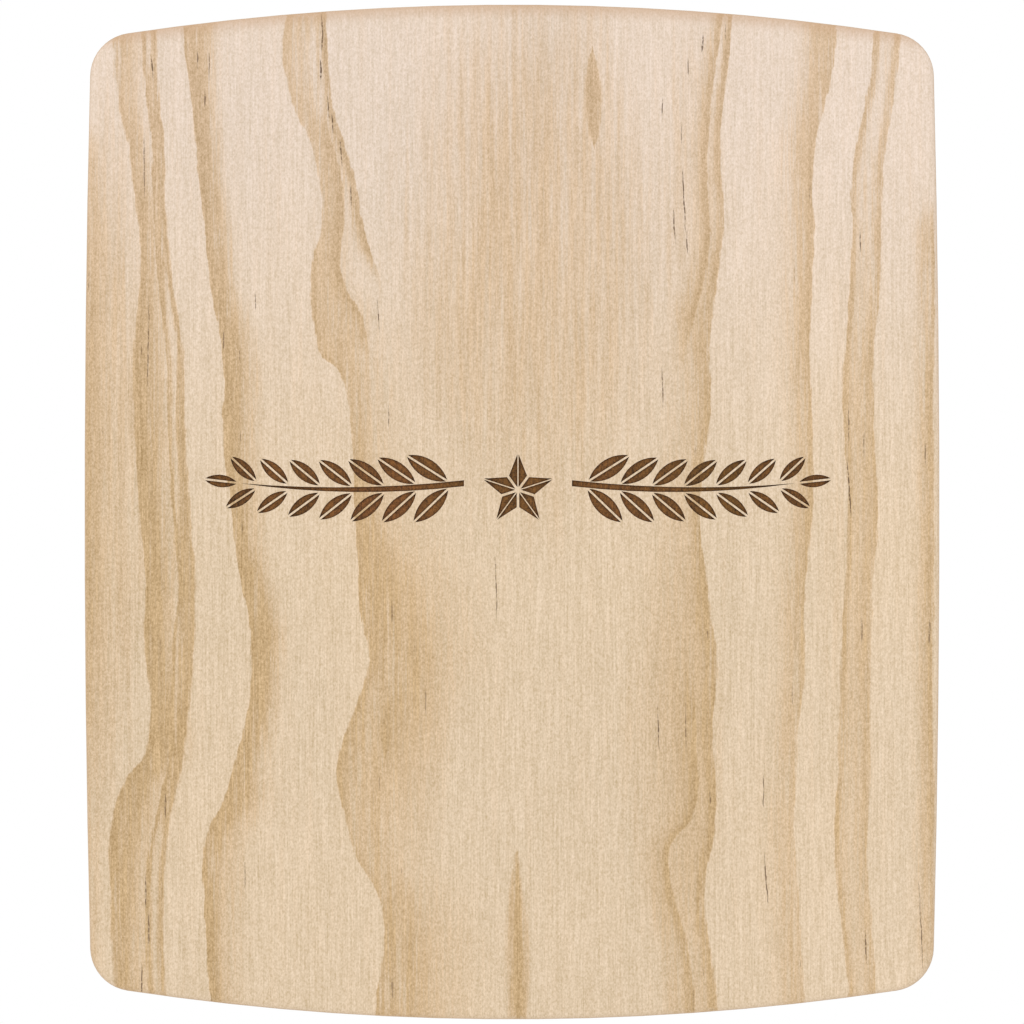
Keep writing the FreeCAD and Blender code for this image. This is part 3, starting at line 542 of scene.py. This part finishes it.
def ply_material(name, along, pale, dark, end_tone, seed):
    """An inner ply. Its fibres show as streaks where they run along the edge and as pores where they end."""
    graph = Graph("ply_" + name)
    place, _, y, _ = graph.place_mm()
    low, high = (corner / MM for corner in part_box(name))
    coarse, fine, speckle = fibres(graph, place, along, seed)
    rings = graph.noise(place, (0.03, 1.6, 0.03), detail=2, roughness=0.5, seed=seed + 2)
    cloud = graph.noise(place, (0.02, 0.02, 0.02), detail=2, seed=seed + 4)

    geometry = graph.node("ShaderNodeNewGeometry")
    facing = graph.node("ShaderNodeSeparateXYZ")
    graph.feed(facing.inputs[0], geometry.outputs["Normal"])
    end_axis = facing.outputs[2] if along == UPRIGHT else facing.outputs[0]
    end_grain = graph.rise(graph.math("ABSOLUTE", end_axis), 0.45, 0.85)
    pores = graph.rise(graph.noise(place, (3.4, 3.4, 3.4), detail=2, roughness=0.6, seed=seed + 6), 0.12, 0.3)

    amount = graph.add(0.35, graph.times(rings, 1.1), graph.times(coarse, 0.7), graph.times(cloud, 0.5),
                       graph.times(end_grain, end_tone))
    colour = graph.mix(amount, pale, dark)
    tone = graph.add(1.0, graph.times(fine, 0.14), graph.times(speckle, 0.12),
                     graph.times(pores, end_grain, -0.16))
    colour = graph.shade(colour, tone)
    wavy = graph.times(graph.noise(place, (0.5, 0.5, 0.5), detail=2, seed=seed + 8), 0.3)
    glue = graph.math("MAXIMUM", graph.rise(graph.add(graph.less(y, low.y), wavy), 0.16, 0.02),
                      graph.rise(graph.add(graph.less(high.y, y), wavy), 0.16, 0.02))
    colour = graph.mix(graph.times(glue, 0.55), colour, seen(158, 116, 76))

    grain = graph.add(graph.times(fine, 0.05), graph.times(coarse, 0.03), graph.times(glue, -0.03),
                      graph.times(pores, end_grain, -0.05))
    roughness = graph.add(0.56, graph.times(fine, 0.1), graph.times(end_grain, 0.08))
    return graph.surface(colour, roughness, graph.bump(grain), Specular_IOR_Level=0.3)


BACK_RINGS = [
    Ring(LEFTWARD, [(125, -84), (90, -80), (52, -87), (10, -80), (-34, -88), (-72, -83), (-125, -90)],
         core=[(125, 3), (0, 5), (-125, 4)], halo=9, strength=0.6, crisp=0.8),
    Ring(LEFTWARD, [(125, -57), (96, -51), (78, -56), (60, -54), (22, -44), (-14, -48), (-40, -57),
                    (-66, -59), (-92, -54), (-125, -62)],
         core=[(125, 4), (20, 10), (-40, 5), (-125, 7)], halo=[(125, 8), (0, 16), (-125, 10)], strength=0.8),
    Ring(LEFTWARD, [(125, -32), (84, -25), (46, -30), (4, -20), (-36, -27), (-80, -36), (-125, -30)],
         core=1.2, halo=5, strength=0.6, crisp=0.8),
    Ring(RIGHTWARD, [(125, 6), (92, 13), (74, 8), (52, 4), (24, 15), (-6, 13), (-30, 4), (-52, 1), (-88, 9),
                     (-125, 5)],
         core=[(125, 5), (24, 8), (-50, 14), (-125, 6)], halo=[(125, 9), (-20, 20), (-125, 10)],
         strength=0.76),
    Ring(RIGHTWARD, [(125, 45), (100, 40), (62, 47), (27, 41), (-14, 47), (-52, 56), (-86, 51), (-125, 55)],
         core=[(125, 4), (0, 3), (-125, 5)], halo=9, strength=0.8),
    Ring(RIGHTWARD, [(125, 57), (72, 62), (22, 55), (-28, 63), (-78, 70), (-125, 66)],
         core=1, halo=4, strength=0.5, crisp=0.8),
    Ring(RIGHTWARD, [(125, 81), (84, 88), (34, 81), (-18, 87), (-66, 92), (-125, 85)],
         core=[(125, 5), (-20, 3), (-125, 5)], halo=8, strength=0.6),
]


def back_veneer_material():
    """The back is a sheet of the same pine, yellower, rougher and less carefully chosen."""
    graph = Graph("pine_back_veneer")
    place, x, y, z = graph.place_mm()
    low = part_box("back_veneer")[0] / MM
    coarse, fine, speckle = fibres(graph, place, UPRIGHT, seed=43.0)
    wave = graph.noise(place, (0.02, 0.02, 0.04), detail=1, seed=47.0)
    ragged = graph.noise(place, (1.3, 1.3, 0.2), detail=2, roughness=0.6, seed=53.0)
    strands = graph.noise(place, (1.1, 1.1, 0.028), detail=1, roughness=0.6, seed=59.0)
    bent_x = graph.add(x, graph.times(wave, 4.0), graph.times(ragged, 1.5))
    bent_z = graph.add(z, graph.times(wave, 5.0))
    late = 0.0
    for ring in BACK_RINGS:
        late = graph.add(late, ring.late_wood(graph, bent_x, bent_z, coarse))
    late = graph.times(late, streaked(graph, coarse, fine, strands))
    late = graph.add(late, graph.times(coarse, 0.9), graph.times(fine, 0.5), 0.08)
    colour = graph.mix(graph.rise(late, -0.1, 0.6), seen(228, 204, 170), seen(215, 186, 147))
    colour = graph.mix(graph.rise(late, 0.4, 1.15), colour, seen(197, 163, 117))
    colour = graph.grained(colour, graph.add(graph.times(wave, 0.08), graph.times(fine, 0.6),
                                             graph.times(speckle, 0.6)))
    checks = graph.times(scattered_checks(graph, bent_x, bent_z, seed=7.3), graph.rise(late, 0.2, 0.5), 0.8)
    colour = graph.mix(checks, colour, seen(98, 70, 42))
    glue = graph.rise(graph.add(graph.less(y, low.y), graph.times(ragged, 0.3)), 0.16, 0.02)
    colour = graph.mix(graph.times(glue, 0.5), colour, seen(158, 116, 76))
    grain = graph.add(graph.times(fine, 0.08), graph.times(coarse, 0.06), graph.times(speckle, 0.03))
    roughness = graph.add(0.6, graph.times(fine, 0.3))
    return graph.surface(colour, roughness, graph.bump(grain), Specular_IOR_Level=0.3)


# ---- the hanger ----

def plated_steel_material(name, seed):
    """Zinc-plated steel: a satin ground with drawn lines, the plating's faint colours, painted shade in its
    corners.
    """
    graph = Graph("zinc_" + name)
    place, *_ = graph.place_mm()
    drawn = graph.noise(place, (9.0, 9.0, 0.25), detail=3, roughness=0.6, seed=seed)
    bloom = graph.noise(place, (0.22, 0.22, 0.16), detail=3, seed=seed + 3)
    spangle = graph.noise(place, (1.1, 1.1, 1.1), detail=3, roughness=0.7, seed=seed + 7)
    colour = graph.mix(graph.add(0.5, graph.times(bloom, 2.2)), seen(196, 200, 208), seen(214, 208, 192))
    # Painted shade: the steel is darker where its corners close in.
    corner = graph.node("ShaderNodeAmbientOcclusion", samples=8, only_local=True)
    corner.inputs["Distance"].default_value = 0.8 * MM
    colour = graph.mix(graph.rise(corner.outputs["AO"], 0.35, 0.9), seen(92, 88, 82), colour)
    colour = graph.shade(colour, graph.add(1.0, graph.times(spangle, 0.18), graph.times(drawn, 0.1)))
    roughness = graph.add(0.34, graph.times(drawn, 0.25), graph.times(spangle, 0.2))
    relief = graph.add(graph.times(drawn, 0.012), graph.times(spangle, 0.01))
    return graph.surface(colour, roughness, graph.bump(relief), Metallic=1.0)


# ---- the room: floor, light, camera ----

def make_floor(height):
    """A plain pale floor."""
    half = 5.0
    corners = [(-half, -half, height), (half, -half, height), (half, half, height), (-half, half, height)]
    mesh = bpy.data.meshes.new("floor")
    mesh.from_pydata(corners, [], [(0, 1, 2, 3)])
    floor = bpy.data.objects.new("floor", mesh)
    bpy.context.collection.objects.link(floor)
    graph = Graph("pale_floor")
    place, *_ = graph.place_mm()
    mottle = graph.noise(place, (0.01, 0.01, 0.01), detail=3, seed=1.0)
    colour = graph.mix(graph.add(0.5, mottle), (0.90, 0.90, 0.90, 1), (0.93, 0.93, 0.93, 1))
    mesh.materials.append(graph.surface(colour, 0.7, graph.bump(graph.times(mottle, 0.02))))


def aim(thing, target):
    thing.rotation_euler = (Vector(target) - thing.location).to_track_quat("-Z", "Y").to_euler()


def make_light(name, place, size, power, target):
    light = bpy.data.lights.new(name, "AREA")
    light.shape = "DISK"
    light.size = size
    light.energy = power
    lamp = bpy.data.objects.new(name, light)
    lamp.location = place
    bpy.context.collection.objects.link(lamp)
    aim(lamp, target)


def make_world():
    world = bpy.data.worlds.new("studio")
    world.use_nodes = True
    world.node_tree.nodes["Background"].inputs["Color"].default_value = (1, 1, 1, 1)
    world.node_tree.nodes["Background"].inputs["Strength"].default_value = 1.0
    bpy.context.scene.world = world


def make_camera(box):
    """Square in front of the face, with a long lens, so that the plaque nearly fills the frame's height."""
    low, high = box
    stand_off = 1.5
    margin = 1.0085
    frame_height = (high.z - low.z) * margin
    camera = bpy.data.cameras.new("camera")
    camera.sensor_width = 36.0
    camera.lens = camera.sensor_width * stand_off / frame_height
    eye = bpy.data.objects.new("camera", camera)
    eye.location = ((low.x + high.x) / 2, low.y - stand_off, (low.z + high.z) / 2)
    eye.rotation_euler = (math.radians(90), 0, 0)
    bpy.context.collection.objects.link(eye)
    bpy.context.scene.camera = eye


dress("face_veneer", face_veneer_material())
dress("back_veneer", back_veneer_material())
# Each inner ply: the way its fibres run, its pale and dark wood, how much darker its end grain is, and the
# seed of its noises.
INNER = {
    "crossband_front": (ACROSS, seen(229, 204, 176), seen(203, 169, 141), -0.4, 61.0),
    "core_ply_front": (UPRIGHT, seen(228, 202, 170), seen(196, 156, 118), 0.45, 67.0),
    "centre_ply": (ACROSS, seen(234, 210, 182), seen(204, 168, 134), 0.45, 71.0),
    "core_ply_back": (UPRIGHT, seen(224, 198, 166), seen(192, 152, 114), 0.45, 79.0),
    "crossband_back": (ACROSS, seen(230, 204, 174), seen(200, 162, 126), 0.45, 83.0),
}
for ply, (along, pale, dark, end_tone, seed) in INNER.items():
    dress(ply, ply_material(ply, along, pale, dark, end_tone, seed))
for index, steel in enumerate(("hanger_plate", "hanger_screw_upper", "hanger_screw_lower")):
    dress(steel, plated_steel_material(steel, 91.0 + 10 * index))

FLOOR_DROP = 0.6  # the plaque hangs, so the floor is well below it
make_floor(cad_box[0].z - FLOOR_DROP)
make_world()
make_light("key", (-1.1, -1.9, 1.5), size=1.4, power=11.0, target=(0, 0, 0))
make_camera(cad_box)
bpy.context.scene.view_settings.view_transform = "Standard"
